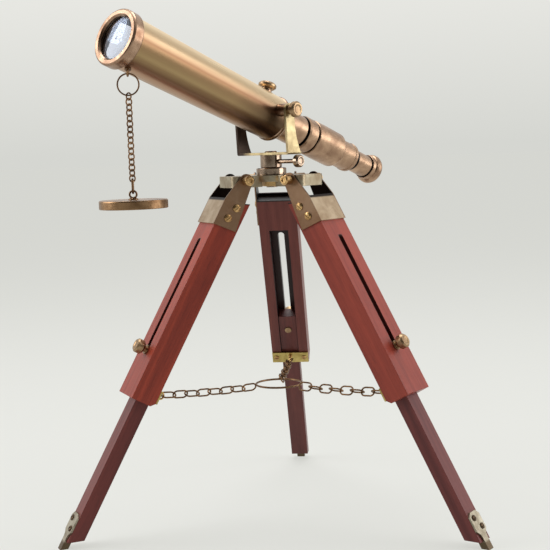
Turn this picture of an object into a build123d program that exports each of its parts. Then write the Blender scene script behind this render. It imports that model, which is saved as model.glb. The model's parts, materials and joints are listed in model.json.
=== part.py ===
from build123d import *
import math
import os

# Brass desk telescope on a folding wooden tripod, in millimetres.
# Origin: on the floor under the tripod's axis. +Z is up and the rear leg points along +Y.

# Tripod
LEG_AZIMUTHS = {"left": 210, "right": 330, "rear": 90}
SPLAY = 29.6                # angle of each leg from the vertical
HINGE_RADIUS = 27.0         # hinge pins, from the tripod's axis
LEG_END = 302.0             # leg stock is drawn past the floor along the leg, then cut level
HINGE_HEIGHT = 253.0
WOOD_END = 5.2              # the wood ends this far above the floor

UPPER_HALF_WIDTH = 14.9
UPPER_OUTER = 7.6           # outer face, from the leg's axis
UPPER_INNER = 10.7          # inner, open face
UPPER_TOP = 13.5            # stations along the leg, measured from the hinge
UPPER_BOTTOM = 175.0
UPPER_TOP_OUTER = 21.0      # the top end is cut at a slant, lower on the outer side
CHANNEL_TOP = 41.0
SLOT_TOP = 50.6
SLOT_BOTTOM = 142.2
SLOT_HALF_WIDTH = 2.5
CHANNEL_GAP = 0.25

LOWER_HALF_WIDTH = 7.0
LOWER_OUTER = 1.3
LOWER_INNER = 9.3
LOWER_TOP = 126.0
THUMBSCREW_STATION = 139.7

STRAP_THICK = 1.2
STRAP_TOP = 18.0
STRAP_BOTTOM = 38.5
GUIDE_TOP = 162.0
GUIDE_BOTTOM = 172.0
EYE_STATION = 165.5
EYE_REACH = 17.1            # centre of the chain eye, inwards from the leg's axis
EYE_RING = 2.4              # centre-line radius of the chain eye
EYE_WIRE = 0.7

PLATE_WIDTH = 13.6
PLATE_TOP = 264.5
PLATE_SHOULDER = 281.0
PLATE_THICK = 1.4
TOE_HALF_WIDTH = 3.2

# Spreader chain
LINK_LENGTH = 12.0
LINK_WIDTH = 7.4
LINK_WIRE = 0.6             # wire radius
LINKS_PER_ARM = 8
SPREADER_RADIUS = 17.3
SPREADER_WIRE = 0.75
SPREADER_OFFSET = 1.7       # the rear chain holds the ring this far off the axis
OPEN_PIVOT_GAP = 1.2        # free gap where the left and right chains meet the ring
CHAIN_SAG = 0.7
RING_DROP = 1.6             # the ring hangs this far below the eyes
LINK_ROLL = 28.0            # links lie at a slant, each turned a quarter from the one before

# Head
HEAD_TOP = HINGE_HEIGHT + 3.3
HEAD_THICK = 4.6
LOBE_THICK = 8.2
LOBE_REACH = 37.0
LOBE_HALF_WIDTH = 14.5
HUB_RADIUS = 22.0
BOLT_RADIUS = 2.2
BOLT_HEAD_RADIUS = 3.6
BOLT_HEAD_LENGTH = 7.0
BOLT_END = 23.3
FLANGE_RADIUS = 11.2
FLANGE_HEIGHT = 5.2
POST_RADIUS = 5.5
RUNNING_GAP = 0.05

# Yoke
YOKE_AZIMUTH = 232.6        # the objective points this way
SOCKET_RADIUS = 8.0
YOKE_THICK = 1.9
YOKE_OUTER = 26.0           # outer faces of the arms, from the tube's axis
YOKE_HALF_DEPTH = 7.0
YOKE_DROP = 28.3            # top of the yoke's base, below the tube's axis
YOKE_SHIFT = 2.0            # the base plate's middle stands this far in front of the swivel axis
PIVOT_LIFT = 2.0            # the pivot screws stand this far above the tube's axis
PIVOT_FORWARD = 6.5         # the tube's pivot stands this far in front of the swivel axis
PIVOT_HEIGHT = 301.1
ELEVATION = 20.1            # of the tube at rest

# Telescope: stations run along the tube's axis from the pivot, positive to the objective
TUBE_REAR = -8.0
TUBE_FRONT = 140.0
TUBE_REAR_RADIUS = 16.4
TUBE_FRONT_RADIUS = 18.1
TUBE_WALL = 1.0
RIM_RADIUS = 17.2
RIM_REAR = -12.0
COLLAR_FRONT = 7.0
BEZEL_RADIUS = 19.8
BEZEL_FRONT = 146.0
APERTURE = 14.9
LENS_RADIUS = 16.4
DRAW_1_RADIUS = 12.05
DRAW_1_FRONT = 38.0
DRAW_1_REAR = -37.5
BAND_RADIUS = 13.3
BAND_FRONT = -39.0
BAND_REAR = -49.5
BARREL_RADIUS = 13.6
BARREL_FRONT = -50.5
BARREL_STEP = -82.0
BARREL_NECK_RADIUS = 10.9
BARREL_REAR = -101.5
SLEEVE_RADIUS = 11.15
DRAW_3_RADIUS = 8.6
DRAW_3_FRONT = -62.0
CUP_FRONT = -122.5
CUP_REAR = -133.5
CUP_RADIUS = 11.6
TOP_SCREW_STATION = 2.0
PAD_END = YOKE_OUTER - YOKE_THICK - 0.3   # pivot pads stop short of the arms
PIVOT_STEM_RADIUS = 2.2
TOP_STEM_RADIUS = 1.6
CLAMP_STEM_RADIUS = 1.6
LEG_STEM_RADIUS = 1.6
SPIGOT_RADIUS = 3.5
POST_STUD_RADIUS = 4.0
STOP_FLANGE_RADIUS = 14.6
EYE_HOLE = 4.0
STUD_STATION = 133.0
STUD_ANGLE = 15.0           # the chain stud stands off the belly line, towards the near side

# Cap and its chain
CAP_RADIUS = 22.7
CAP_HEIGHT = 5.8
CAP_TOP_WALL = 1.1
CAP_FIT_GAP = 0.3
SPLIT_RING_RADIUS = 7.0
SPLIT_RING_WIRE = 0.5
SMALL_LINK_RADIUS = 2.3
SMALL_LINK_WIRE = 0.5
SMALL_LINKS = 16
LONG_LINK_LENGTH = 10.5
LONG_LINK_WIDTH = 5.2
LONG_LINK_WIRE = 0.7
TOUCH = 0.05                # play left between linked wires
RING_PLAY = 0.3             # play where a ring crosses an eye at a slant
LINK_PLAY = 0.6             # play where links cross at 45 degrees
EYE_PLAY = 0.4              # the same where a chain hangs on a screw eye

UP = Vector(0, 0, 1)


def write(name, *solids):
    """One STEP file for one node, which may be a group of like solids."""
    os.makedirs("parts", exist_ok=True)
    shape = solids[0] if len(solids) == 1 else Compound(children=list(solids))
    export_step(shape, f"parts/{name}.step")


def turned(*corners):
    """Solid of revolution about local Z from (radius, height) corners."""
    outline = Polyline(*[(radius, 0, height) for radius, height in corners], close=True)
    return revolve(make_face(outline), Axis.Z)


def rod(radius, low, high):
    """Cylinder on local Z between two heights."""
    return Pos(0, 0, (low + high) / 2) * Cylinder(radius, abs(high - low))


def block(x, y, z):
    """Box between two limits on each axis."""
    size = [abs(b - a) for a, b in (x, y, z)]
    centre = [(a + b) / 2 for a, b in (x, y, z)]
    return Pos(*centre) * Box(*size)


def flat(azimuth):
    """Unit vector in the floor plane."""
    angle = math.radians(azimuth)
    return Vector(math.cos(angle), math.sin(angle), 0)


def leg_frame(azimuth):
    """Local x along the hinge pin, y towards the tripod's axis, z up along the leg."""
    splay = math.radians(SPLAY)
    up_leg = UP * math.cos(splay) - flat(azimuth) * math.sin(splay)
    hinge = flat(azimuth) * HINGE_RADIUS + UP * HINGE_HEIGHT
    return Plane(origin=hinge, x_dir=flat(azimuth + 90), z_dir=up_leg)


def tube_frame():
    """Local z along the tube to the objective, x to its belly, y to its near side."""
    rise = math.radians(ELEVATION)
    forward = flat(YOKE_AZIMUTH)
    axis = forward * math.cos(rise) + UP * math.sin(rise)
    belly = forward * math.sin(rise) - UP * math.cos(rise)
    pivot = forward * PIVOT_FORWARD + UP * PIVOT_HEIGHT
    return Plane(origin=pivot, x_dir=belly, z_dir=axis)


def yoke_frame():
    """Local x forward, y to the near side, z up, on the tripod's axis."""
    return Plane(origin=(0, 0, 0), x_dir=flat(YOKE_AZIMUTH), z_dir=UP)


def placed(frame, shape):
    return frame.location * shape


def facing(centre, normal, upright):
    """Plane at a point, for rings and links: z is the hole's axis, x runs along the link."""
    return Plane(origin=centre, x_dir=upright, z_dir=normal)


def tube_radius(station):
    """Outer radius of the tapered main tube."""
    share = (station - TUBE_REAR) / (TUBE_FRONT - TUBE_REAR)
    return TUBE_REAR_RADIUS + share * (TUBE_FRONT_RADIUS - TUBE_REAR_RADIUS)


def link(length, width, wire):
    """Oval chain link in local XY, long along x: two straight wires and two half-round ends."""
    bend = width / 2 - wire
    straight = length - width
    section = Plane(origin=(straight / 2, bend, 0), x_dir=(0, 1, 0), z_dir=(1, 0, 0)) * Circle(wire)
    right_end = revolve(section, Axis((straight / 2, 0, 0), (0, 0, 1)), -180)
    left_end = Rot(0, 0, 180) * right_end
    side = Rot(0, 90, 0) * Cylinder(wire, straight)
    return right_end + left_end + Pos(0, bend, 0) * side + Pos(0, -bend, 0) * side


def knob(radius, low, high, dish=0.8):
    """Turned thumbscrew head on local Z with rounded edges and a dished outer face."""
    edge = min(1.2, abs(high - low) / 3)
    sign = 1 if high > low else -1
    floor = high - sign * dish
    return turned(
        (0, low), (radius - edge, low), (radius, low + sign * edge), (radius, high - sign * edge),
        (radius - edge, high), (radius * 0.62, high), (radius * 0.4, floor), (0, floor))


def slotted_head(radius, height):
    """Domed screw head on local Z from 0 up, with its driver slot."""
    dome = turned((0, 0), (radius, 0), (radius, height * 0.45), (radius * 0.6, height * 0.9), (0, height))
    slot = Pos(0, 0, height) * Box(radius * 2.2, radius * 0.34, height * 1.0)
    return dome - slot


def wood_screw(radius, height, length):
    """Slotted round-head screw, its head's seat at local z = 0."""
    return slotted_head(radius, height) + rod(radius * 0.42, -length, 0.01)


# ---------------------------------------------------------------- telescope

def build_main_tube(frame, holes):
    outer = turned(
        (0, TUBE_REAR), (TUBE_REAR_RADIUS, TUBE_REAR), (TUBE_FRONT_RADIUS, TUBE_FRONT), (0, TUBE_FRONT))
    inner = turned(
        (0, TUBE_REAR - 1), (TUBE_REAR_RADIUS - TUBE_WALL, TUBE_REAR - 1),
        (TUBE_REAR_RADIUS - TUBE_WALL, TUBE_REAR), (TUBE_FRONT_RADIUS - TUBE_WALL, TUBE_FRONT),
        (TUBE_FRONT_RADIUS - TUBE_WALL, TUBE_FRONT + 1), (0, TUBE_FRONT + 1))
    write("main_tube", placed(frame, outer - inner - holes))
    return outer


def build_rear_collar(frame, holes):
    """Rolled rim at the eye end, with the sleeve that guides the first draw."""
    bore = DRAW_1_RADIUS + RUNNING_GAP
    seat = TUBE_REAR_RADIUS - TUBE_WALL - 0.02
    collar = turned(
        (bore, RIM_REAR), (RIM_RADIUS - 1.6, RIM_REAR), (RIM_RADIUS - 0.4, RIM_REAR + 0.7),
        (RIM_RADIUS, RIM_REAR + 1.9), (RIM_RADIUS - 0.3, RIM_REAR + 3.2), (RIM_RADIUS - 0.8, TUBE_REAR),
        (seat, TUBE_REAR), (seat, COLLAR_FRONT), (bore, COLLAR_FRONT))
    write("rear_collar", placed(frame, collar - holes))


def build_objective(frame):
    """Bezel ring over the tube's end, lens seated in it, retaining ring behind."""
    lip = BEZEL_RADIUS - 1.3
    bezel = turned(
        (TUBE_FRONT_RADIUS + 0.02, TUBE_FRONT - 2.5), (BEZEL_RADIUS - 0.6, TUBE_FRONT - 2.5),
        (BEZEL_RADIUS, TUBE_FRONT - 1.7), (BEZEL_RADIUS, BEZEL_FRONT - 1.4),
        (BEZEL_RADIUS - 0.4, BEZEL_FRONT - 0.5),
        (lip, BEZEL_FRONT), (APERTURE + 1.2, BEZEL_FRONT), (APERTURE, BEZEL_FRONT - 1.2),
        (APERTURE, TUBE_FRONT + 3), (LENS_RADIUS + 0.1, TUBE_FRONT + 3),
        (LENS_RADIUS + 0.1, TUBE_FRONT + 0.02), (TUBE_FRONT_RADIUS + 0.02, TUBE_FRONT + 0.02))
    write("bezel_ring", placed(frame, bezel))
    write("objective_lens", placed(frame, lens(LENS_RADIUS, TUBE_FRONT + 1.4, 2.2, 1.3)))
    retainer = turned(
        (15.2, TUBE_FRONT - 4), (16.9, TUBE_FRONT - 4), (17.0, TUBE_FRONT - 0.01), (15.2, TUBE_FRONT - 0.01))
    write("lens_retainer", placed(frame, retainer))


def build_tube_bosses(frame, tube_outer, holes):
    """Pads soldered to the tube: one under the top thumbscrew and one at each pivot."""
    top = Pos(0, 0, TOP_SCREW_STATION) * Rot(0, -90, 0) * rod(4.0, 12, 17.6)
    pads = [top] + [Pos(-PIVOT_LIFT, 0, 0) * Rot(90 * side, 0, 0) * rod(4.6, 12, PAD_END) for side in (-1, 1)]
    solids = [placed(frame, pad - tube_outer - holes) for pad in pads]
    write("tube_bosses", *solids)


def build_top_thumbscrew(frame):
    """Locks the first draw: knob above the boss, stem down to the draw's surface."""
    stem = rod(TOP_STEM_RADIUS, DRAW_1_RADIUS + 0.15, 18.6)
    head = rod(3.4, 17.9, 19.2) + knob(6.7, 19.1, 23.1, 1.4)
    write("top_thumbscrew", placed(frame, Pos(0, 0, TOP_SCREW_STATION) * Rot(0, -90, 0) * (stem + head)))


def build_pivot_screw(frame, name, side):
    """Knob, shoulder and stem that carry the tube in one arm of the yoke."""
    stem = rod(PIVOT_STEM_RADIUS, 17.6, YOKE_OUTER + 0.6)
    head = rod(3.3, YOKE_OUTER + 0.15, YOKE_OUTER + 3.2) + knob(5.7, YOKE_OUTER + 3.1, YOKE_OUTER + 7.9, 0.4)
    write(name, placed(frame, Pos(-PIVOT_LIFT, 0, 0) * Rot(-90 * side, 0, 0) * (stem + head)))


def build_draws(frame):
    """Three draws: each slides in the one before, the last one carries the eye cup."""
    inner_1 = DRAW_1_RADIUS - 0.85
    draw_1 = turned((inner_1, DRAW_1_REAR), (DRAW_1_RADIUS, DRAW_1_REAR), (DRAW_1_RADIUS, DRAW_1_FRONT),
                    (inner_1, DRAW_1_FRONT))
    write("draw_tube_1", placed(frame, draw_1))

    neck = DRAW_1_RADIUS - 0.75
    band = turned(
        (neck - 0.1, BAND_REAR), (BAND_RADIUS - 0.5, BAND_REAR), (BAND_RADIUS, BAND_REAR + 0.5),
        (BAND_RADIUS, BAND_FRONT - 2.2), (BAND_RADIUS - 0.9, BAND_FRONT), (neck, BAND_FRONT),
        (neck, DRAW_1_REAR), (neck - 0.1, DRAW_1_REAR))
    write("draw_collar_1", placed(frame, band))

    bore_2 = SLEEVE_RADIUS - 0.9
    bore_3 = DRAW_3_RADIUS + RUNNING_GAP
    barrel = turned(
        (bore_2, 6), (SLEEVE_RADIUS, 6), (SLEEVE_RADIUS, BARREL_FRONT), (BARREL_RADIUS - 0.7, BARREL_FRONT),
        (BARREL_RADIUS, BARREL_FRONT - 0.8), (BARREL_RADIUS + 0.2, BARREL_FRONT - 12),
        (BARREL_RADIUS, BARREL_STEP + 1), (BARREL_RADIUS - 0.5, BARREL_STEP),
        (BARREL_NECK_RADIUS + 0.9, BARREL_STEP - 1.2),
        (BARREL_NECK_RADIUS, BARREL_STEP - 2.6), (BARREL_NECK_RADIUS, BARREL_REAR + 4),
        (BARREL_NECK_RADIUS + 0.5, BARREL_REAR + 3.2), (BARREL_NECK_RADIUS + 0.4, BARREL_REAR + 0.8),
        (BARREL_NECK_RADIUS - 0.2, BARREL_REAR), (DRAW_3_RADIUS + 1.2, BARREL_REAR),
        (DRAW_3_RADIUS + 1.2, BARREL_REAR + 1.2), (bore_3, BARREL_REAR + 1.2), (bore_3, BARREL_STEP),
        (bore_2, BARREL_STEP + 2))
    write("eyepiece_barrel", placed(frame, barrel))

    inner_3 = DRAW_3_RADIUS - 0.8
    draw_3 = turned((inner_3, CUP_FRONT), (DRAW_3_RADIUS, CUP_FRONT), (DRAW_3_RADIUS, DRAW_3_FRONT),
                    (inner_3, DRAW_3_FRONT))
    write("draw_tube_3", placed(frame, draw_3))

    cup = turned(
        (EYE_HOLE, CUP_REAR + 1.6), (EYE_HOLE + 2.5, CUP_REAR), (CUP_RADIUS - 2.4, CUP_REAR),
        (CUP_RADIUS - 0.8, CUP_REAR + 1.0), (CUP_RADIUS, CUP_REAR + 2.9), (CUP_RADIUS - 0.1, CUP_REAR + 5.2),
        (CUP_RADIUS - 0.9, CUP_REAR + 6.8), (DRAW_3_RADIUS + 1.3, CUP_REAR + 7.6),
        (DRAW_3_RADIUS + 1.1, CUP_FRONT - 0.5), (DRAW_3_RADIUS + 0.6, CUP_FRONT), (EYE_HOLE, CUP_FRONT))
    write("eye_cup", placed(frame, cup))


def lens(radius, middle, edge, bulge):
    """Biconvex lens on local Z: rim thickness `edge`, each face rising by `bulge`."""
    face_radius = (radius ** 2 + bulge ** 2) / (2 * bulge)
    crown = edge / 2 + bulge
    front = Pos(0, 0, middle + crown - face_radius) * Sphere(face_radius)
    back = Pos(0, 0, middle - crown + face_radius) * Sphere(face_radius)
    return rod(radius, middle - crown - 1, middle + crown + 1) & front & back


def build_optics(frame):
    """Erector cell on the first draw's inner end, and the eyepiece's two lenses."""
    cell_rear = 14.0
    cell_front = DRAW_1_FRONT + 4
    cell_bore = 8.2
    inner = DRAW_1_RADIUS - 0.9
    cell = turned(
        (cell_bore, cell_rear), (inner, cell_rear), (inner, DRAW_1_FRONT + 0.02),
        (STOP_FLANGE_RADIUS, DRAW_1_FRONT + 0.02), (STOP_FLANGE_RADIUS, DRAW_1_FRONT + 1.6),
        (inner, cell_front), (cell_bore, cell_front))
    write("erector_cell", placed(frame, cell))
    stations = (cell_rear + 4, cell_front - 4)
    erectors = [placed(frame, lens(cell_bore - 0.02, station, 1.8, 0.8)) for station in stations]
    write("erector_lenses", *erectors)
    seat = DRAW_3_RADIUS - 0.82
    stations = (DRAW_3_FRONT - 4, CUP_FRONT + 4)
    eyepieces = [placed(frame, lens(seat, station, 1.8, 0.9)) for station in stations]
    write("eyepiece_lenses", *eyepieces)


# ---------------------------------------------------------------- cap and chain

def stud_frame(frame):
    """Where the chain stud stands: local z points out of the tube's belly."""
    angle = math.radians(STUD_ANGLE)
    out = frame.x_dir * math.cos(angle) + frame.y_dir * math.sin(angle)
    foot = frame.origin + frame.z_dir * STUD_STATION + out * (tube_radius(STUD_STATION) - 0.3)
    ring_run = flat(YOKE_AZIMUTH - 45)
    return Plane(origin=foot, x_dir=ring_run - out * ring_run.dot(out), z_dir=out)


def build_cap_chain(frame, tube_outer):
    """Stud, split ring, small links, long link and cap, hanging plumb below the stud's eye."""
    stud_place = stud_frame(frame)
    eye_radius = 2.2
    eye_wire = 0.65
    eye_height = 3.2
    stem = rod(2.2, -1, 1.2)
    eye = Pos(0, 0, eye_height) * Rot(0, 90, 0) * Torus(eye_radius, eye_wire)
    stud = placed(stud_place, stem + eye) - placed(frame, tube_outer)
    write("chain_stud", stud)

    eye_centre = stud_place.origin + stud_place.z_dir * eye_height
    ring_top = eye_centre + stud_place.z_dir * (eye_radius - eye_wire - SPLIT_RING_WIRE - RING_PLAY)
    ring_centre = ring_top - UP * SPLIT_RING_RADIUS
    across = flat(YOKE_AZIMUTH + 45)
    turn = Torus(SPLIT_RING_RADIUS, SPLIT_RING_WIRE)
    split_ring = Pos(0, 0, 0.4) * turn + Pos(0, 0, -0.4) * turn
    write("split_ring", placed(facing(ring_centre, across, UP), split_ring))

    along = flat(YOKE_AZIMUTH - 45)
    link_normals = (flat(YOKE_AZIMUTH), flat(YOKE_AZIMUTH + 90))
    ring_bottom = ring_centre - UP * SPLIT_RING_RADIUS
    small = Torus(SMALL_LINK_RADIUS, SMALL_LINK_WIRE)
    pitch = 2 * (SMALL_LINK_RADIUS - SMALL_LINK_WIRE) - TOUCH
    centre = ring_bottom + UP * (SPLIT_RING_WIRE + SMALL_LINK_WIRE + LINK_PLAY - SMALL_LINK_RADIUS)
    links = []
    for index in range(SMALL_LINKS):
        links.append(placed(facing(centre - UP * pitch * index, link_normals[index % 2], UP), small))
    last = centre - UP * pitch * (SMALL_LINKS - 1)
    reach = LONG_LINK_LENGTH / 2 - LONG_LINK_WIRE
    long_top = last - UP * (SMALL_LINK_RADIUS - SMALL_LINK_WIRE - LONG_LINK_WIRE - LINK_PLAY)
    long_centre = long_top - UP * reach
    long_link = link(LONG_LINK_LENGTH, LONG_LINK_WIDTH, LONG_LINK_WIRE)
    links.append(placed(facing(long_centre, along, UP), long_link))
    write("cap_chain", *links)

    cap_eye_radius = 2.3
    long_bottom = long_centre - UP * reach
    eye_top = long_bottom + UP * (LONG_LINK_WIRE + eye_wire + TOUCH)
    cap_eye_centre = eye_top - UP * cap_eye_radius
    cap_top = cap_eye_centre - UP * (cap_eye_radius + 1.2)
    cap_place = Plane(origin=cap_top, x_dir=across, z_dir=UP)
    eye_ring = placed(facing(cap_eye_centre, across, UP), Torus(cap_eye_radius, eye_wire))
    write("cap_eye", eye_ring + placed(cap_place, turned((0, 0), (3.4, 0), (3.2, 0.6), (1.6, 1.6), (0, 1.6))))
    recess = BEZEL_RADIUS + CAP_FIT_GAP
    cap = turned(
        (0, 0), (CAP_RADIUS - 0.8, 0), (CAP_RADIUS - 0.2, -0.2), (CAP_RADIUS, -0.8),
        (CAP_RADIUS, -CAP_HEIGHT + 0.4), (CAP_RADIUS - 0.4, -CAP_HEIGHT),
        (recess, -CAP_HEIGHT), (recess, -CAP_TOP_WALL), (0, -CAP_TOP_WALL))
    write("lens_cap", placed(cap_place, cap))
    points = {"tilt": frame.origin - frame.x_dir * PIVOT_LIFT, "stud_eye": eye_centre,
              "ring_bottom": ring_bottom, "cap_eye": long_bottom, "cap_top": cap_top}
    for name, point in points.items():
        print(name, [round(value, 3) for value in point])


# ---------------------------------------------------------------- yoke and head

def build_yoke(frame):
    """One bent strip: base plate and two arms that lean forward to the tube's pivot."""
    base_top = PIVOT_HEIGHT - YOKE_DROP
    base_low = base_top - YOKE_THICK
    low_front = YOKE_SHIFT + YOKE_HALF_DEPTH
    low_rear = YOKE_SHIFT - YOKE_HALF_DEPTH
    eye = 4.8
    rise = math.radians(ELEVATION)
    forward = PIVOT_FORWARD - PIVOT_LIFT * math.sin(rise)
    height = PIVOT_HEIGHT + PIVOT_LIFT * math.cos(rise)
    front = Line((low_front, base_low), (forward + eye, height))
    crown = ThreePointArc((forward + eye, height), (forward, height + eye), (forward - eye, height))
    rear = ThreePointArc((forward - eye, height), (YOKE_SHIFT - 2.4, base_top + 11), (low_rear, base_low))
    foot = Line((low_rear, base_low), (low_front, base_low))
    profile = make_face(front + crown + rear + foot)
    arm_plane = Plane(origin=(0, YOKE_OUTER, 0), x_dir=(1, 0, 0), z_dir=(0, -1, 0))
    arm = extrude(arm_plane * profile, YOKE_THICK)
    far_arm = Pos(0, YOKE_THICK - 2 * YOKE_OUTER, 0) * arm
    base = block((low_rear, low_front), (-YOKE_OUTER, YOKE_OUTER), (base_low, base_top))
    strip = base + arm + far_arm
    bends = strip.edges().filter_by(Axis.X).group_by(Axis.Z)[0]
    strip = fillet(bends, 1.4)
    pin_hole = Pos(forward, 0, height) * Rot(90, 0, 0) * Cylinder(PIVOT_STEM_RADIUS + 0.1, 3 * YOKE_OUTER)
    spigot_hole = rod(SPIGOT_RADIUS + 0.02, base_low - 1, base_top + 1)
    write("yoke", placed(frame, strip - pin_hole - spigot_hole))

    low = HEAD_TOP + FLANGE_HEIGHT + 0.1
    bore = POST_RADIUS + RUNNING_GAP
    socket = turned(
        (bore, low), (SOCKET_RADIUS - 0.5, low), (SOCKET_RADIUS, low + 0.5), (SOCKET_RADIUS, base_low - 0.02),
        (SPIGOT_RADIUS, base_low - 0.02), (SPIGOT_RADIUS, base_top + 0.02),
        (SPIGOT_RADIUS + 1.4, base_top + 0.02), (SPIGOT_RADIUS + 0.6, base_top + 1.0),
        (0, base_top + 1.2), (0, base_low - 1.2), (bore, base_low - 1.2))
    screw_height = base_low - 4.9
    screw_place = Pos(0, 0, screw_height) * Rot(-90, 0, 0)
    socket_hole = screw_place * rod(CLAMP_STEM_RADIUS + 0.1, 2, SOCKET_RADIUS + 2)
    write("clamp_socket", placed(frame, socket - socket_hole))
    screw = rod(CLAMP_STEM_RADIUS, POST_RADIUS + 0.15, 25) + knob(4.6, 24.6, 30.0, 0.5)
    write("clamp_screw", placed(frame, screw_place * screw))


def build_head():
    """Three-lobed head plate with its swivel post, nut and hinge bolts."""
    plate = rod(HUB_RADIUS, HEAD_TOP - HEAD_THICK, HEAD_TOP)
    for azimuth in LEG_AZIMUTHS.values():
        lobe = block((HUB_RADIUS - 8, LOBE_REACH), (-LOBE_HALF_WIDTH, LOBE_HALF_WIDTH),
                     (HEAD_TOP - LOBE_THICK, HEAD_TOP))
        lobe = fillet(lobe.edges().filter_by(Axis.Z).group_by(Axis.X)[-1], 4)
        plate += Rot(0, 0, azimuth) * lobe
    plate -= rod(POST_STUD_RADIUS + 0.1, HEAD_TOP - 20, HEAD_TOP + 1)
    for azimuth in LEG_AZIMUTHS.values():
        pin = leg_frame(azimuth).location * Rot(0, 90, 0) * Cylinder(BOLT_RADIUS + 0.05, 60)
        plate -= pin
    write("head_plate", plate)

    flange_top = HEAD_TOP + FLANGE_HEIGHT
    base_low = PIVOT_HEIGHT - YOKE_DROP - YOKE_THICK
    post_top = base_low - 1.6
    post = turned(
        (0, HEAD_TOP - HEAD_THICK - 4.5), (POST_STUD_RADIUS, HEAD_TOP - HEAD_THICK - 4.5),
        (POST_STUD_RADIUS, HEAD_TOP),
        (FLANGE_RADIUS - 0.4, HEAD_TOP), (FLANGE_RADIUS, HEAD_TOP + 0.4), (FLANGE_RADIUS, flange_top - 0.6),
        (FLANGE_RADIUS - 0.6, flange_top), (POST_RADIUS, flange_top), (POST_RADIUS, post_top), (0, post_top))
    write("pivot_post", post)
    nut_low = HEAD_TOP - HEAD_THICK - 3.6
    nut = Pos(0, 0, nut_low) * extrude(RegularPolygon(8.4, 6), 3.6)
    nut -= rod(POST_STUD_RADIUS + 0.02, nut_low - 1, nut_low + 9)
    write("post_nut", nut)

    bolts = []
    for azimuth in LEG_AZIMUTHS.values():
        shank = rod(BOLT_RADIUS, -BOLT_END + 3, BOLT_END - 3)
        for side in (0, 180):
            head = turned(
                (0, 0), (BOLT_HEAD_RADIUS, 0), (BOLT_HEAD_RADIUS, BOLT_HEAD_LENGTH - 1.1),
                (BOLT_HEAD_RADIUS - 0.9, BOLT_HEAD_LENGTH), (1.5, BOLT_HEAD_LENGTH),
                (1.3, BOLT_HEAD_LENGTH - 0.9), (0, BOLT_HEAD_LENGTH - 0.9))
            shank += Rot(side, 0, 0) * Pos(0, 0, BOLT_END - BOLT_HEAD_LENGTH) * head
        bolts.append(placed(leg_frame(azimuth), Rot(0, 90, 0) * shank))
    write("hinge_bolts", *bolts)


# ---------------------------------------------------------------- legs

def strap_fasteners():
    """Round-head screws through the strap's ears, two on each side."""
    half = UPPER_HALF_WIDTH + STRAP_THICK
    screws = []
    for side in (-1, 1):
        for inward, station in ((2.2, 21.0), (-0.6, 30.4)):
            seat = Plane(origin=(side * half, inward, -station), x_dir=(0, 0.5, 1), z_dir=(side, 0, 0))
            screws.append(seat.location * wood_screw(2.8, 1.3, 7))
    return screws


def guide_fasteners():
    """Two small screws in the guide strap and the screw eye that holds the spreader chain."""
    face = UPPER_INNER + STRAP_THICK
    middle = (GUIDE_TOP + GUIDE_BOTTOM) / 2
    pieces = []
    for x in (-11.4, 11.4):
        seat = Plane(origin=(x, face, -middle), x_dir=(1, 0, 0), z_dir=(0, 1, 0))
        pieces.append(seat.location * wood_screw(2.0, 1.0, 4.5))
    shank = Pos(0, 0, -EYE_STATION) * Rot(-90, 0, 0) * rod(0.9, face + 0.02, EYE_REACH - EYE_RING + 0.1)
    pad = Pos(0, 0, -EYE_STATION) * Rot(-90, 0, 0) * rod(1.7, face + 0.02, face + 0.9)
    ring = Pos(0, EYE_REACH, -EYE_STATION) * Rot(0, 90, 0) * Torus(EYE_RING, EYE_WIRE)
    pieces.append(shank + pad + ring)
    return pieces


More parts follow.
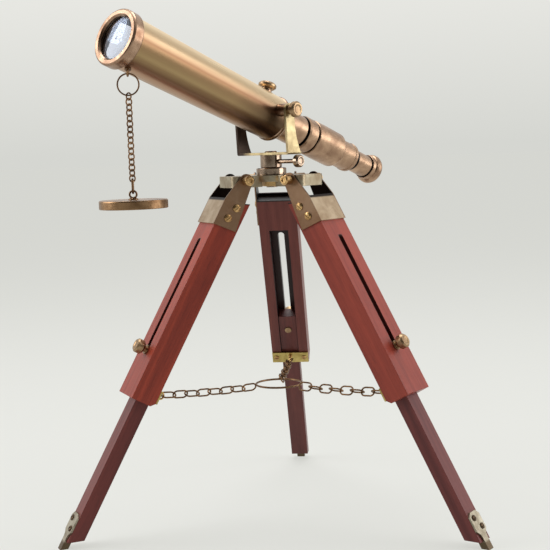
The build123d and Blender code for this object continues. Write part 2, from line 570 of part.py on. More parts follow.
def build_leg(name, azimuth):
    frame = leg_frame(azimuth)
    half = UPPER_HALF_WIDTH
    outer_strap = half + STRAP_THICK
    strap_screws = strap_fasteners()
    guide_screws = guide_fasteners()

    web = block((-outer_strap, outer_strap), (-UPPER_OUTER - STRAP_THICK, -UPPER_OUTER),
                (-STRAP_BOTTOM, -STRAP_TOP))
    ear_outline = make_face(
        Polyline((5.0, 0), (9.3, -STRAP_BOTTOM + 2), (-UPPER_OUTER - STRAP_THICK, -STRAP_BOTTOM),
                 (-UPPER_OUTER - STRAP_THICK, -STRAP_TOP), (-5.0, 0))
        + ThreePointArc((-5.0, 0), (0, 5.0), (5.0, 0)))
    ear_plane = Plane(origin=(half, 0, 0), x_dir=(0, 1, 0), z_dir=(1, 0, 0))
    ear = extrude(ear_plane * ear_outline, STRAP_THICK)
    strap = web + ear + Pos(-2 * half - STRAP_THICK, 0, 0) * ear
    strap -= Rot(0, 90, 0) * Cylinder(BOLT_RADIUS + 0.1, 4 * half)
    for screw in strap_screws:
        strap -= screw
    write(f"leg_strap_{name}", placed(frame, strap))
    write(f"strap_screws_{name}", *[placed(frame, screw) for screw in strap_screws])

    wood = block((-half, half), (-UPPER_OUTER, UPPER_INNER), (-UPPER_BOTTOM, -UPPER_TOP))
    channel_half = LOWER_HALF_WIDTH + CHANNEL_GAP
    wood -= block((-channel_half, channel_half), (-LOWER_OUTER - CHANNEL_GAP, UPPER_INNER + 1),
                  (-UPPER_BOTTOM - 1, -CHANNEL_TOP))
    slot = block((-SLOT_HALF_WIDTH, SLOT_HALF_WIDTH), (-UPPER_OUTER - 1, 0),
                 (-SLOT_BOTTOM + SLOT_HALF_WIDTH, -SLOT_TOP - SLOT_HALF_WIDTH))
    slot_end = Rot(90, 0, 0) * Cylinder(SLOT_HALF_WIDTH, UPPER_OUTER + 2)
    for station in (SLOT_TOP + SLOT_HALF_WIDTH, SLOT_BOTTOM - SLOT_HALF_WIDTH):
        slot += Pos(0, -UPPER_OUTER / 2, -station) * slot_end
    wood -= slot
    toe = UPPER_BOTTOM - GUIDE_BOTTOM
    corner = make_face(Polyline(
        (UPPER_INNER + 1, -UPPER_BOTTOM + toe + 1), (UPPER_INNER + 1, -UPPER_BOTTOM - 1),
        (UPPER_INNER - toe - 1, -UPPER_BOTTOM - 1), close=True))
    wood -= extrude(Plane(origin=(-half - 1, 0, 0), x_dir=(0, 1, 0), z_dir=(1, 0, 0)) * corner, 2 * half + 2)
    slant = make_face(Polyline(
        (UPPER_INNER + 1, -UPPER_TOP + 0.4), (-UPPER_OUTER - 1, -UPPER_TOP_OUTER - 0.4),
        (-UPPER_OUTER - 1, 0), (UPPER_INNER + 1, 0), close=True))
    wood -= extrude(Plane(origin=(-half - 1, 0, 0), x_dir=(0, 1, 0), z_dir=(1, 0, 0)) * slant, 2 * half + 2)
    for screw in strap_screws + guide_screws:
        wood -= screw
    write(f"upper_leg_{name}", placed(frame, wood))

    guide = block((-half, half), (UPPER_INNER + 0.01, UPPER_INNER + STRAP_THICK), (-GUIDE_BOTTOM, -GUIDE_TOP))
    for screw in guide_screws:
        guide -= screw
    write(f"guide_strap_{name}", placed(frame, guide))
    write(f"guide_screws_{name}", *[placed(frame, screw) for screw in guide_screws])

    build_lower_leg(name, frame)
    build_leg_thumbscrew(name, frame)


def build_lower_leg(name, frame):
    """Sliding lower leg, cut level at its foot, with its brass foot plate and toe."""
    plate_outer = -LOWER_OUTER - PLATE_THICK
    screws = []
    for x, station in ((-2.6, 269.0), (2.6, 276.0)):
        seat = Plane(origin=(x, plate_outer, -station), x_dir=(0.8, 0, 0.6), z_dir=(0, -1, 0))
        screws.append(seat.location * wood_screw(2.2, 1.1, 6))

    wood = block((-LOWER_HALF_WIDTH, LOWER_HALF_WIDTH), (-LOWER_OUTER, LOWER_INNER), (-LEG_END, -LOWER_TOP))
    wood -= Pos(0, 0, -THUMBSCREW_STATION) * Rot(90, 0, 0) * Cylinder(LEG_STEM_RADIUS + 0.1, 40)
    for screw in screws:
        wood -= screw
    below_wood = Pos(0, 0, WOOD_END - 100) * Box(900, 900, 200)
    write(f"lower_leg_{name}", placed(frame, wood) - below_wood)

    half = PLATE_WIDTH / 2
    cut = 3.0
    outline = make_face(Polyline(
        (-half + cut, -PLATE_TOP), (half - cut, -PLATE_TOP), (half, -PLATE_TOP - cut),
        (half, -PLATE_SHOULDER + cut), (half - cut, -PLATE_SHOULDER),
        (TOE_HALF_WIDTH + 0.4, -PLATE_SHOULDER - 1.2), (TOE_HALF_WIDTH, -PLATE_SHOULDER - 2.4),
        (TOE_HALF_WIDTH, -LEG_END), (-TOE_HALF_WIDTH, -LEG_END),
        (-TOE_HALF_WIDTH, -PLATE_SHOULDER - 2.4), (-TOE_HALF_WIDTH - 0.4, -PLATE_SHOULDER - 1.2),
        (-half + cut, -PLATE_SHOULDER), (-half, -PLATE_SHOULDER + cut),
        (-half, -PLATE_TOP - cut), close=True))
    face_plane = Plane(origin=(0, plate_outer, 0), x_dir=(1, 0, 0), z_dir=(0, -1, 0))
    plate = Pos(0, PLATE_THICK - 0.01, 0) * extrude(face_plane * outline, PLATE_THICK - 0.01)
    for screw in screws:
        plate -= screw
    below_floor = Pos(0, 0, -100) * Box(900, 900, 200)
    above_toe = Pos(0, 0, WOOD_END + 100 - 0.1) * Box(900, 900, 200)
    toe = block((-TOE_HALF_WIDTH, TOE_HALF_WIDTH), (plate_outer, 2.4), (-LEG_END, -LEG_END + 30))
    foot = (placed(frame, plate) - below_floor) + (placed(frame, toe) - below_floor - above_toe)
    write(f"foot_plate_{name}", foot)
    write(f"foot_screws_{name}", *[placed(frame, screw) for screw in screws])


def build_leg_thumbscrew(name, frame):
    """Clamps the lower leg: knob and washer outside the slot, domed end inside."""
    wall = UPPER_OUTER + 0.3
    stem = rod(LEG_STEM_RADIUS, -LOWER_INNER - 0.6, wall + 3)
    washer = rod(3.6, wall, wall + 0.9)
    neck = rod(2.4, wall + 0.8, wall + 3.2)
    head = knob(5.2, wall + 3.0, wall + 9.2, 0.6)
    button = turned((0, 0), (2.9, 0), (2.6, 0.7), (1.2, 1.1), (0, 1.1))
    dome = Rot(180, 0, 0) * Pos(0, 0, LOWER_INNER + 0.15) * button
    screw = Pos(0, 0, -THUMBSCREW_STATION) * Rot(90, 0, 0) * (stem + washer + neck + head + dome)
    write(f"leg_thumbscrew_{name}", placed(frame, screw))


# ---------------------------------------------------------------- spreader chain

def eye_place(azimuth):
    """Centre of a leg's chain eye."""
    frame = leg_frame(azimuth)
    return frame.origin + frame.y_dir * EYE_REACH - frame.z_dir * EYE_STATION


def build_spreader():
    """Three chains from the legs to a ring that rides on the end of the rear chain."""
    oval = link(LINK_LENGTH, LINK_WIDTH, LINK_WIRE)
    reach = LINK_LENGTH / 2 - LINK_WIRE
    for name, azimuth in LEG_AZIMUTHS.items():
        eye = eye_place(azimuth)
        height = eye.Z
        eye_radius = math.hypot(eye.X, eye.Y)
        first = eye_radius - EYE_RING + EYE_WIRE + LINK_WIRE + EYE_PLAY - reach
        if name == "rear":
            last = SPREADER_OFFSET + SPREADER_RADIUS - SPREADER_WIRE - LINK_WIRE - EYE_PLAY + reach
        else:
            shift = SPREADER_OFFSET / 2
            edge = math.sqrt((SPREADER_RADIUS + SPREADER_WIRE) ** 2 - 3 * shift ** 2) - shift
            last = edge + OPEN_PIVOT_GAP + LINK_LENGTH / 2
        links = []
        for index in range(LINKS_PER_ARM):
            share = index / (LINKS_PER_ARM - 1)
            radius = first + (last - first) * share
            sag = RING_DROP * share + 4 * CHAIN_SAG * share * (1 - share)
            slope = (RING_DROP + 4 * CHAIN_SAG * (1 - 2 * share)) / (last - first)
            run = (flat(azimuth) - UP * slope).normalized()
            above = flat(azimuth + 90).cross(run) * -1
            roll = math.radians(LINK_ROLL if index % 2 == 0 else LINK_ROLL - 90)
            centre = flat(azimuth) * radius + UP * (height - sag)
            tilted = above * math.cos(roll) + flat(azimuth + 90) * math.sin(roll)
            links.append(placed(Plane(origin=centre, x_dir=run, z_dir=tilted), oval))
        write(f"spreader_chain_{name}", *links)
        print("chain eye", name, [round(value, 3) for value in eye])
    centre = flat(LEG_AZIMUTHS["rear"]) * SPREADER_OFFSET + UP * (eye_place(90).Z - RING_DROP)
    write("spreader_ring", Pos(*centre) * Torus(SPREADER_RADIUS, SPREADER_WIRE))


def main():
    frame = tube_frame()
    top_hole = Pos(0, 0, TOP_SCREW_STATION) * Rot(0, -90, 0) * rod(TOP_STEM_RADIUS + 0.1, 5, 30)
    pin_hole = Pos(-PIVOT_LIFT, 0, 0) * Rot(90, 0, 0) * Cylinder(PIVOT_STEM_RADIUS + 0.1, 80)
    tube_outer = build_main_tube(frame, top_hole + pin_hole)
    build_rear_collar(frame, top_hole)
    build_objective(frame)
    build_tube_bosses(frame, tube_outer, top_hole + pin_hole)
    build_top_thumbscrew(frame)
    build_pivot_screw(frame, "near_pivot_screw", 1)
    build_pivot_screw(frame, "far_pivot_screw", -1)
    build_draws(frame)
    build_optics(frame)
    build_cap_chain(frame, tube_outer)
    build_yoke(yoke_frame())
    build_head()
    for name, azimuth in LEG_AZIMUTHS.items():
        build_leg(name, azimuth)
        print("leg hinge", name, [round(value, 3) for value in leg_frame(azimuth).origin])
    build_spreader()


main()
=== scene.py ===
import json
import math
import bmesh
import bpy
from mathutils import Matrix, Vector

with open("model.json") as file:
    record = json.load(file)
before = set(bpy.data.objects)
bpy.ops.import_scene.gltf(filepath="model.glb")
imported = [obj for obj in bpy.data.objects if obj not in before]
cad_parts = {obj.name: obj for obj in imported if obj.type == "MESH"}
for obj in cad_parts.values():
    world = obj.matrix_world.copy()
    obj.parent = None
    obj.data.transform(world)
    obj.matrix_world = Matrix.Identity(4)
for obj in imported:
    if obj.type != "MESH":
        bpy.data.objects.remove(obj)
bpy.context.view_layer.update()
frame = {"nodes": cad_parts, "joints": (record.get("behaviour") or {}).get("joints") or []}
NODES = frame["nodes"]
JOINTS = {joint["name"]: joint for joint in frame["joints"]}
LEGS = ("left", "right", "rear")
MM = 0.001
UP = Vector((0, 0, 1))

CAMERA_PLACE = Vector((0.0959, -0.90425, 0.2748))      # m
CAMERA_PITCH = 5.853        # degrees below the horizontal
CAMERA_ROLL = -1.988        # degrees
CAMERA_LENS = 80.07         # mm
SENSOR_WIDTH = 36           # mm
FLOOR_TONE = (222, 223, 217)
HORIZON_TONE = (213, 214, 209)
BACKDROP_TONE = (231, 231, 226)
BACKDROP_RISE = 0.12        # where it has its full tone: 0 is the horizon, 1 is straight up
FLOOR_GLOW = 0.765          # share of its tone that the floor gives by itself
FLOOR_PAINT = 0.18          # brightness of the floor's paint
FLOOR_RADIUS = 30           # m
TENT_STRENGTH = 0.85
TENT_WARMTH = 0.985         # blue of the tent's light, as a share of red and green
PIVOT_HEIGHT = 2.0 * MM     # of the pivot screws above the tube's axis
MIX_FIRST, MIX_SECOND, MIX_RESULT = 6, 7, 2     # colour sockets of a Mix node


# ---------------------------------------------------------------- frames of the moving parts

def local_frame(origin, along, across):
    """Matrix whose z runs along a part's axis and whose x is as near as can be to `across`."""
    z = Vector(along).normalized()
    x = Vector(across)
    x = (x - z * x.dot(z)).normalized()
    y = z.cross(x)
    turn = Matrix((x, y, z)).transposed().to_4x4()
    return Matrix.Translation(Vector(origin)) @ turn


tube_axis = -Vector(JOINTS["draw_1_slide"]["axis"])
near_side = -Vector(JOINTS["tube_tilt"]["axis"])
tube_up = tube_axis.cross(near_side)
tube_middle = Vector(JOINTS["tube_tilt"]["pos_m"]) - tube_up * PIVOT_HEIGHT
TUBE = local_frame(tube_middle, tube_axis, near_side)
UPRIGHT = Matrix.Identity(4)
YOKE = local_frame((0, 0, 0), UP, near_side)
LEG = {}
for leg_name in LEGS:
    swing = JOINTS[f"leg_swing_{leg_name}"]
    down = Vector(JOINTS[f"leg_extend_{leg_name}"]["axis"])
    LEG[leg_name] = local_frame(swing["pos_m"], -down, swing["axis"])


# ---------------------------------------------------------------- material helpers

def tone(red, green, blue):
    """Colour given as 0-255 screen values, as the linear values that Blender wants."""
    def linear(value):
        share = value / 255
        return share / 12.92 if share <= 0.04045 else ((share + 0.055) / 1.055) ** 2.4
    return (linear(red), linear(green), linear(blue), 1.0)


class Nodes:
    """A node tree, with short ways to add and join nodes."""

    def __init__(self, tree):
        self.tree = tree

    def add(self, kind, inputs=None, **settings):
        node = self.tree.nodes.new(kind)
        for key, value in settings.items():
            setattr(node, key, value)
        for key, value in (inputs or {}).items():
            self.put(value, node.inputs[key])
        return node

    def put(self, value, socket):
        if isinstance(value, bpy.types.NodeSocket):
            self.tree.links.new(value, socket)
        else:
            socket.default_value = value

    def noise(self, vector, scale, detail=3.0, roughness=0.5, distortion=0.0):
        return self.add("ShaderNodeTexNoise", {
            "Vector": vector, "Scale": scale, "Detail": detail,
            "Roughness": roughness, "Distortion": distortion}).outputs["Fac"]

    def ramp(self, factor, *stops):
        """Colour ramp from (position, colour) stops, or a value ramp when colours are numbers."""
        node = self.add("ShaderNodeValToRGB", {"Fac": factor})
        band = node.color_ramp
        while len(band.elements) < len(stops):
            band.elements.new(0.5)
        for element, (position, colour) in zip(band.elements, stops):
            element.position = position
            element.color = (colour, colour, colour, 1) if isinstance(colour, (int, float)) else colour
        return node.outputs["Color"]

    def mix(self, factor, first, second):
        node = self.add("ShaderNodeMix", data_type="RGBA")
        self.put(factor, node.inputs[0])
        self.put(first, node.inputs[MIX_FIRST])
        self.put(second, node.inputs[MIX_SECOND])
        return node.outputs[MIX_RESULT]

    def math(self, operation, first, second=0.0, third=0.0):
        node = self.add("ShaderNodeMath", operation=operation)
        for socket, value in zip(node.inputs, (first, second, third)):
            self.put(value, socket)
        return node.outputs[0]

    def span(self, value, low, high, new_low, new_high):
        return self.add("ShaderNodeMapRange", {
            "Value": value, "From Min": low, "From Max": high,
            "To Min": new_low, "To Max": new_high}).outputs[0]

    def step(self, value, start, before, after, width=0.2):
        """Soft step from one value to the next, its start and width in millimetres."""
        return self.span(value, start * MM, (start + width) * MM, before, after)

    def axes(self, vector):
        return self.add("ShaderNodeSeparateXYZ", {"Vector": vector}).outputs


class Shader(Nodes):
    """One material's nodes."""

    def __init__(self, name):
        self.material = bpy.data.materials.new(name)
        self.material.use_nodes = True
        super().__init__(self.material.node_tree)
        self.surface = self.tree.nodes["Principled BSDF"]

    def set(self, **values):
        for key, value in values.items():
            self.put(value, self.surface.inputs[key.replace("_", " ")])

    def coordinates(self, place, stretch=(1, 1, 1)):
        """Metres in a part's own frame, stretched per axis."""
        source = self.add("ShaderNodeTexCoord").outputs["Object"]
        inverse = place.inverted()
        moved = self.add("ShaderNodeMapping", {
            "Vector": source, "Location": inverse.to_translation(),
            "Rotation": inverse.to_euler()}).outputs[0]
        return self.add("ShaderNodeMapping", {"Vector": moved, "Scale": stretch}).outputs[0]

    def rounded(self, radius):
        """Normals as if every edge were broken by a small radius."""
        return self.add("ShaderNodeBevel", {"Radius": radius}, samples=4).outputs[0]

    def bump(self, height, strength, distance, normal=None):
        inputs = {"Height": height, "Strength": strength, "Distance": distance}
        if normal is not None:
            inputs["Normal"] = normal
        return self.add("ShaderNodeBump", inputs).outputs[0]


# ---------------------------------------------------------------- brass

GROOVES = ((-39.6, -38.0), (-50.6, -49.4), (-105.8, -101.6), (-122.6, -121.6))
# dark tone of the painted shadow in the grooves round the draws
GAP_SHADOW_BLACK = tone(26, 22, 20)
# painted reflection on a strap's sides, and painted shadow inside a strap
EAR_REFLECTION_BROWN = tone(116, 84, 62)
INSIDE_SHADOW_BLACK = tone(30, 22, 20)
WEB_START = -20.5           # mm along the leg: above this, a strap's inside is black with painted shadow


def shade_rings(shader, colour, stations):
    """Painted shadow in the grooves round the draws, given as their ends along the tube's axis in
    millimetres.
    """
    z = shader.axes(shader.coordinates(TUBE))["Z"]
    for low, high in stations:
        middle = (low + high) / 2 * MM
        away = shader.math("ABSOLUTE", shader.math("SUBTRACT", z, middle))
        groove = shader.step(away, (high - low) / 2, 1.0, 0.0, 0.15)
        colour = shader.mix(groove, colour, GAP_SHADOW_BLACK)
    return colour


def brass(name, light, dark, place=UPRIGHT, gloss=(0.24, 0.42), turned=0.0, grime=0.2, grooves=(),
          zone=None, dark_inside=0.0):
    """Antique brass: mottled patina, hazy polish, turning marks.

    `grooves` are rings of painted shadow in the gaps. `zone` is an axis, two ends in millimetres and the
    tone below them. `dark_inside` is where a strap's inside ends, in millimetres from its middle; beyond
    it the strap's sides get a darker painted reflection, and inside it, near the top, a painted shadow.
    """
    shader = Shader(name)
    plain = shader.coordinates(place)
    mottle = shader.noise(plain, 90, 4, 0.6, 0.4)
    fleck = shader.noise(plain, 900, 3, 0.65)
    colour = shader.mix(shader.ramp(mottle, (0.34, 0.0), (0.68, 1.0)), light, dark)
    spots = shader.ramp(fleck, (0.60, 0.0), (0.76, grime))
    colour = shader.mix(spots, colour, (dark[0] * 0.34, dark[1] * 0.30, dark[2] * 0.26, 1))
    height = fleck
    if turned:
        rings = shader.noise(shader.coordinates(place, (0.02, 0.02, 1)), 2600, 2, 0.6)
        colour = shader.mix(shader.ramp(rings, (0.4, 0.0), (0.8, turned * 0.5)), colour, dark)
        height = rings
    # painted shadow in the grooves round the draws
    colour = shade_rings(shader, colour, grooves)
    if zone:
        axis, low, high, zone_tone = zone
        along = shader.axes(plain)[axis]
        colour = shader.mix(shader.span(along, low * MM, high * MM, 1.0, 0.0), colour, zone_tone)
    # painted reflection: the strap's sides are darker brown; painted shadow: its inside near the top is
    # black
    if dark_inside:
        axes = shader.axes(plain)
        aside = shader.math("ABSOLUTE", axes["X"])
        ears = shader.step(aside, dark_inside, 0.0, 0.75)
        colour = shader.mix(ears, colour, EAR_REFLECTION_BROWN)
        inside = shader.step(aside, dark_inside, 1.0, 0.0)
        above = shader.step(axes["Z"], WEB_START, 0.0, 1.0, 1.0)
        colour = shader.mix(shader.math("MULTIPLY", inside, above), colour, INSIDE_SHADOW_BLACK)
    rough = shader.span(shader.math("ADD", mottle, fleck), 0.7, 1.3, gloss[0], gloss[1])
    normal = shader.bump(height, 0.06, 0.00005, shader.rounded(0.00035))
    shader.set(Base_Color=colour, Metallic=1.0, Roughness=rough, Normal=normal)
    return shader.material


def tube_brass():
    """Main tube: long bands round the tube, partly patina and partly painted reflections with a painted
    highlight along the top, and painted shade on the lower near side towards the rear.
    """
    shader = Shader("tube_brass")
    x, y, z = shader.axes(shader.coordinates(TUBE))
    turn = shader.math("ARCTAN2", y, x)
    length = shader.coordinates(TUBE, (1, 1, 0.05))
    wander = shader.math("MULTIPLY", shader.math("SUBTRACT", shader.noise(length, 30, 2), 0.5), 0.30)
    around = shader.math("ADD", turn, wander)
    share = shader.span(around, -math.pi, math.pi, 0.0, 1.0)
    copper = tone(176, 142, 114)
    brown = tone(112, 84, 62)
    olive = tone(166, 142, 102)
    gold = tone(250, 224, 180)
    # degrees from the near side, positive to the top: a copper belly, a narrow brown seam, then
    # olive and brown bands below the gold top; the bands are partly patina and partly painted
    # reflections, and the gold top is a painted highlight
    bands_round = (
        (-180, olive), (-70, copper), (-50, brown), (-30, olive),
        (0, brown), (45, gold), (90, gold), (180, olive))
    stops = [((angle + 180) / 360, band_tone) for angle, band_tone in bands_round]
    bands = shader.ramp(share, *stops)
    haze = shader.noise(shader.coordinates(TUBE, (1, 1, 0.25)), 60, 4, 0.6, 0.3)
    colour = shader.mix(shader.ramp(haze, (0.35, 0.0), (0.72, 0.24)), bands, tone(150, 108, 82))
    fine = shader.noise(shader.coordinates(TUBE, (1, 1, 0.02)), 500, 3, 0.65)
    colour = shader.mix(shader.ramp(fine, (0.5, 0.0), (0.8, 0.14)), colour, tone(112, 74, 52))
    # painted shade: the lower near side darkens towards the rear
    rear = shader.span(z, 6 * MM, 46 * MM, 0.72, 0.0)
    rear_shade_turn = math.radians(-42)
    from_rear_shade = shader.math("ABSOLUTE", shader.math("SUBTRACT", turn, rear_shade_turn))
    rear_shade = shader.math("MULTIPLY", rear, shader.span(from_rear_shade, 0.35, 1.15, 1.0, 0.0))
    colour = shader.mix(rear_shade, colour, tone(58, 40, 38))
    rough = shader.span(shader.math("ADD", haze, fine), 0.7, 1.3, 0.27, 0.38)
    normal = shader.bump(fine, 0.03, 0.00005, shader.rounded(0.0004))
    shader.set(Base_Color=colour, Metallic=1.0, Roughness=rough, Normal=normal)
    return shader.material


# ---------------------------------------------------------------- wood, glass and lacquer

WOOD_BLACK = tone(24, 14, 13)
END_SLANT = -0.41           # slope of the blackened top end, which falls to the outer side
END_HEIGHT = 17.9 * MM
# millimetres in the leg's frame
CHANNEL_HALF_WIDTH = 7.30
CHANNEL_FLOOR = -1.9
CHANNEL_TOP = -40.8
SLOT_HALF_WIDTH = 2.52
SLOT_TOP = -50.6
SLOT_BOTTOM = -142.4


def wood(name, place, light, dark, pore, gloss, channel=False):
    """Stained mahogany under satin varnish: grain along the leg and fine pores.

    With `channel`, the leg's top end is blackened, and the channel and slot are darkened with painted
    shade.
    """
    shader = Shader(name)
    broad = shader.noise(shader.coordinates(place, (1, 1, 0.07)), 110, 4, 0.55, 0.7)
    ribbon = shader.noise(shader.coordinates(place, (1, 1, 0.02)), 420, 3, 0.6)
    pores = shader.noise(shader.coordinates(place, (1, 1, 0.035)), 2300, 2, 0.6)
    colour = shader.mix(shader.ramp(broad, (0.34, 0.0), (0.68, 0.8)), light, dark)
    colour = shader.mix(shader.ramp(ribbon, (0.42, 0.0), (0.70, 0.30)), colour, dark)
    lines = shader.ramp(pores, (0.56, 0.0), (0.70, 0.40))
    colour = shader.mix(lines, colour, pore)
    if channel:
        x, y, z = shader.axes(shader.coordinates(place))
        aside = shader.math("ABSOLUTE", x)
        drop = shader.math("MULTIPLY_ADD", y, END_SLANT, END_HEIGHT)
        end = shader.step(shader.math("ADD", z, drop), -0.9, 0.0, 1.0)
        colour = shader.mix(end, colour, WOOD_BLACK)
        # painted shade: the channel and the slot are darkened as if in shadow
        middle = shader.step(aside, CHANNEL_HALF_WIDTH, 0.85, 0.0, 0.15)
        inner = shader.step(y, CHANNEL_FLOOR, 0.0, 1.0)
        below = shader.step(z, CHANNEL_TOP, 1.0, 0.0)
        groove = shader.math("MULTIPLY", shader.math("MULTIPLY", middle, inner), below)
        colour = shader.mix(groove, colour, WOOD_BLACK)
        slot = shader.step(aside, SLOT_HALF_WIDTH, 0.8, 0.0, 0.1)
        window = shader.math(
            "MULTIPLY", shader.step(z, SLOT_TOP, 1.0, 0.0), shader.step(z, SLOT_BOTTOM, 0.0, 1.0))
        colour = shader.mix(shader.math("MULTIPLY", slot, window), colour, WOOD_BLACK)
    edge = shader.rounded(0.0005)
    rough = shader.span(ribbon, 0.3, 0.7, gloss[0], gloss[1])
    height = shader.math("SUBTRACT", ribbon, shader.math("MULTIPLY", lines, 0.8))
    shader.set(Base_Color=colour, Roughness=rough, Normal=shader.bump(height, 0.12, 0.0001, edge))
    shader.set(Coat_Weight=0.10, Coat_Roughness=0.28, Specular_IOR_Level=0.25)
    return shader.material


def glass(name, tint, metal, index):
    """Coated optical glass: `metal` is the share of light that its coatings throw back."""
    shader = Shader(name)
    smear = shader.noise(shader.coordinates(TUBE), 90, 2)
    shader.set(Base_Color=tint, Roughness=shader.span(smear, 0.4, 0.8, 0.0, 0.03))
    shader.set(Transmission_Weight=1.0, IOR=index, Metallic=metal)
    return shader.material


def black_finish(name):
    """Matt black lacquer inside the optics."""
    shader = Shader(name)
    speck = shader.noise(shader.coordinates(UPRIGHT), 900, 3)
    colour = shader.mix(shader.ramp(speck, (0.4, 0.0), (0.7, 1.0)), tone(20, 19, 18), tone(44, 41, 38))
    shader.set(Base_Color=colour, Roughness=shader.span(speck, 0.3, 0.7, 0.6, 0.8))
    return shader.material


# ---------------------------------------------------------------- which piece wears what

look = {
    "tube": tube_brass(),
    "bezel": brass(
        "bezel_brass", tone(178, 148, 124), tone(124, 94, 74), TUBE, (0.22, 0.36), turned=0.3),
    "draw": brass(
        "draw_brass", tone(186, 154, 126), tone(140, 110, 88), TUBE, (0.28, 0.42), turned=0.25,
        grooves=GROOVES),
    "knob": brass("knob_brass", tone(172, 146, 112), tone(146, 118, 90), gloss=(0.30, 0.40), grime=0.05),
    # the far arm is painted nearly black: painted shade and a painted reflection of the tube
    "yoke": brass(
        "yoke_brass", tone(176, 160, 122), tone(146, 128, 96), YOKE, (0.30, 0.46),
        zone=("X", -20, -12, tone(58, 48, 42))),
    "polished": brass(
        "polished_brass", tone(178, 158, 138), tone(120, 98, 82), gloss=(0.10, 0.20), turned=0.2),
    "head": brass("head_brass", tone(176, 166, 142), tone(132, 112, 88), gloss=(0.30, 0.46)),
    "guide": brass("guide_brass", tone(204, 184, 116), tone(150, 128, 72), gloss=(0.28, 0.42)),
    "screw": brass("screw_brass", tone(216, 180, 124), tone(160, 122, 80), gloss=(0.22, 0.36), grime=0.1),
    "dark_screw": brass("dark_screw_brass", tone(96, 78, 58), tone(62, 48, 38), gloss=(0.3, 0.45)),
    "wire": brass("wire_brass", tone(138, 106, 76), tone(84, 62, 44), gloss=(0.30, 0.45)),
    "cap": brass("cap_brass", tone(164, 130, 96), tone(108, 80, 56), gloss=(0.24, 0.40), turned=0.3),
    # the toes are darker
    "foot": brass(
        "foot_brass", tone(176, 168, 150), tone(132, 122, 104), gloss=(0.36, 0.5),
        zone=("Z", 4.6, 6.4, tone(96, 82, 64))),
    "lens": glass("objective_glass", (0.72, 0.80, 0.95, 1), 0.09, 1.52),
    "glass": glass("lens_glass", (0.93, 0.96, 1.0, 1), 0.0, 1.52),
    "black": black_finish("black_lacquer"),
}
# for each leg: upper part light and dark, lower part light and dark
WOOD_TONES = {
    "left": (tone(160, 62, 42), tone(116, 40, 28), tone(118, 54, 48), tone(80, 34, 32)),
    "right": (tone(160, 66, 50), tone(118, 44, 34), tone(118, 56, 52), tone(80, 34, 34)),
    # the rear leg's upper part is a darker copy of the same wood: painted shade on the leg that faces
    # away
    "rear": (tone(118, 60, 52), tone(84, 38, 34), tone(112, 58, 52), tone(80, 38, 36)),
}
for leg_name in LEGS:
    upper_light, upper_dark, lower_light, lower_dark = WOOD_TONES[leg_name]
    look[f"upper_{leg_name}"] = wood(
        f"upper_wood_{leg_name}", LEG[leg_name], upper_light, upper_dark, tone(60, 22, 18), (0.34, 0.46),
        channel=True)
    look[f"lower_{leg_name}"] = wood(
        f"lower_wood_{leg_name}", LEG[leg_name], lower_light, lower_dark, tone(44, 16, 18), (0.34, 0.46))
    look[f"strap_{leg_name}"] = brass(
        f"strap_brass_{leg_name}", tone(182, 162, 136), tone(146, 124, 98), LEG[leg_name], (0.32, 0.48),
        dark_inside=15.1)

FINISH = {
    "main_tube": "tube", "rear_collar": "bezel", "bezel_ring": "bezel", "tube_bosses": "bezel",
    "objective_lens": "lens", "eyepiece_lenses": "glass", "erector_lenses": "glass",
    "lens_retainer": "black", "erector_cell": "black",
    "top_thumbscrew": "knob", "near_pivot_screw": "knob", "far_pivot_screw": "knob",
    "clamp_screw": "polished",
    "draw_tube_1": "draw", "draw_collar_1": "draw", "eyepiece_barrel": "draw", "draw_tube_3": "draw",
    "eye_cup": "draw", "chain_stud": "wire", "split_ring": "wire", "cap_chain": "wire", "cap_eye": "wire",
    "lens_cap": "cap", "yoke": "yoke", "clamp_socket": "polished", "pivot_post": "polished",
    "head_plate": "head", "post_nut": "screw", "hinge_bolts": "screw", "spreader_ring": "wire",
}
LEG_FINISH = {
    "strap_screws": "screw", "guide_strap": "guide", "guide_screws": "screw",
    "foot_plate": "foot", "foot_screws": "dark_screw", "leg_thumbscrew": "knob", "spreader_chain": "wire",
}
for leg_name in LEGS:
    for part_name, finish in LEG_FINISH.items():
        FINISH[f"{part_name}_{leg_name}"] = finish
    FINISH[f"upper_leg_{leg_name}"] = f"upper_{leg_name}"
    FINISH[f"lower_leg_{leg_name}"] = f"lower_{leg_name}"
    FINISH[f"leg_strap_{leg_name}"] = f"strap_{leg_name}"

for node_name, part in NODES.items():
    part.data.materials.clear()
    part.data.materials.append(look[FINISH[node_name]])


# ---------------------------------------------------------------- stage, light and camera

def build_floor():
    """Pale paper floor, wide enough to reach the horizon."""
    mesh = bpy.data.meshes.new("floor")
    work = bmesh.new()
    bmesh.ops.create_circle(work, cap_ends=True, segments=96, radius=FLOOR_RADIUS)
    work.to_mesh(mesh)
    work.free()
    floor = bpy.data.objects.new("floor", mesh)
    bpy.context.scene.collection.objects.link(floor)
    shader = Shader("floor_paper")
    grain = shader.noise(shader.coordinates(UPRIGHT), 40, 2)
    darker = (FLOOR_PAINT * 0.98, FLOOR_PAINT * 0.98, FLOOR_PAINT * 0.96, 1)
    lighter = (FLOOR_PAINT, FLOOR_PAINT, FLOOR_PAINT * 0.98, 1)
    shader.set(Base_Color=shader.mix(grain, darker, lighter), Roughness=0.9)
    shader.set(Specular_IOR_Level=0.0, Emission_Color=tone(*FLOOR_TONE), Emission_Strength=FLOOR_GLOW)
    mesh.materials.append(shader.material)


def area_light(name, place, target, size, power):
    """Soft box aimed at a target, in metres and watts."""
    data = bpy.data.lights.new(name, "AREA")
    data.shape = "RECTANGLE"
    data.size, data.size_y = size
    data.energy = power
    light = bpy.data.objects.new(name, data)
    bpy.context.scene.collection.objects.link(light)
    aim = Vector(target) - Vector(place)
    light.location = place
    light.rotation_euler = aim.to_track_quat("-Z", "Y").to_euler()


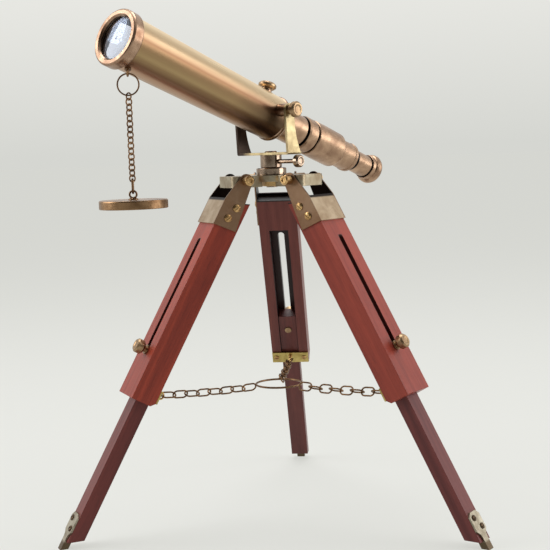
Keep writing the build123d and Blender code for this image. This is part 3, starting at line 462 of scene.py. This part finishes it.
def build_world():
    """White tent: bright at the sides, above and behind, dim on the open side where the viewer stands."""
    world = bpy.data.worlds.new("tent")
    bpy.context.scene.world = world
    world.use_nodes = True
    sky = Nodes(world.node_tree)
    axes = sky.axes(sky.add("ShaderNodeTexCoord").outputs["Generated"])
    # how far round from the open side to the side behind the object, and how bright
    levels = ((0.0, 0.05), (0.18, 0.16), (0.44, 0.90), (1.0, 1.0))
    stops = [(position, (level, level, level * TENT_WARMTH, 1)) for position, level in levels]
    tent = sky.ramp(sky.span(axes["Y"], -1.0, 1.0, 0.0, 1.0), *stops)
    lit = sky.tree.nodes["Background"]
    sky.put(tent, lit.inputs["Color"])
    sky.put(TENT_STRENGTH, lit.inputs["Strength"])
    rise = sky.span(axes["Z"], 0.0, BACKDROP_RISE, 0.0, 1.0)
    backdrop = sky.mix(rise, tone(*HORIZON_TONE), tone(*BACKDROP_TONE))
    seen = sky.add("ShaderNodeBackground", {"Color": backdrop})
    chosen = sky.add("ShaderNodeMixShader")
    seen_directly = sky.add("ShaderNodeLightPath").outputs["Is Camera Ray"]
    sources = (seen_directly, lit.outputs[0], seen.outputs[0])
    for socket, source in zip(chosen.inputs, sources):
        sky.put(source, socket)
    sky.put(chosen.outputs[0], sky.tree.nodes["World Output"].inputs["Surface"])


def build_camera():
    """Camera at the photograph's viewing angle, aimed at the tripod's axis and rolled a little."""
    data = bpy.data.cameras.new("camera")
    data.lens = CAMERA_LENS
    data.sensor_width = SENSOR_WIDTH
    camera = bpy.data.objects.new("camera", data)
    bpy.context.scene.collection.objects.link(camera)
    level = Vector((-CAMERA_PLACE.x, -CAMERA_PLACE.y, 0)).normalized()
    pitch = math.radians(CAMERA_PITCH)
    forward = level * math.cos(pitch) - UP * math.sin(pitch)
    right = forward.cross(UP).normalized()
    top = right.cross(forward)
    roll = math.radians(CAMERA_ROLL)
    image_right = right * math.cos(roll) + top * math.sin(roll)
    image_up = top * math.cos(roll) - right * math.sin(roll)
    turn = Matrix((image_right, image_up, -forward)).transposed().to_4x4()
    camera.matrix_world = Matrix.Translation(CAMERA_PLACE) @ turn
    bpy.context.scene.camera = camera


build_floor()
build_world()
area_light("left_box", (-1.3, -0.25, 0.75), (0, 0, 0.2), (0.9, 0.9), 10)
area_light("right_box", (1.3, 0.0, 0.6), (0, 0, 0.2), (0.9, 0.9), 9)
area_light("top_box", (-0.1, 0.3, 1.5), (0, 0, 0.25), (1.0, 0.7), 12)
build_camera()
bpy.context.scene.view_settings.view_transform = "Standard"
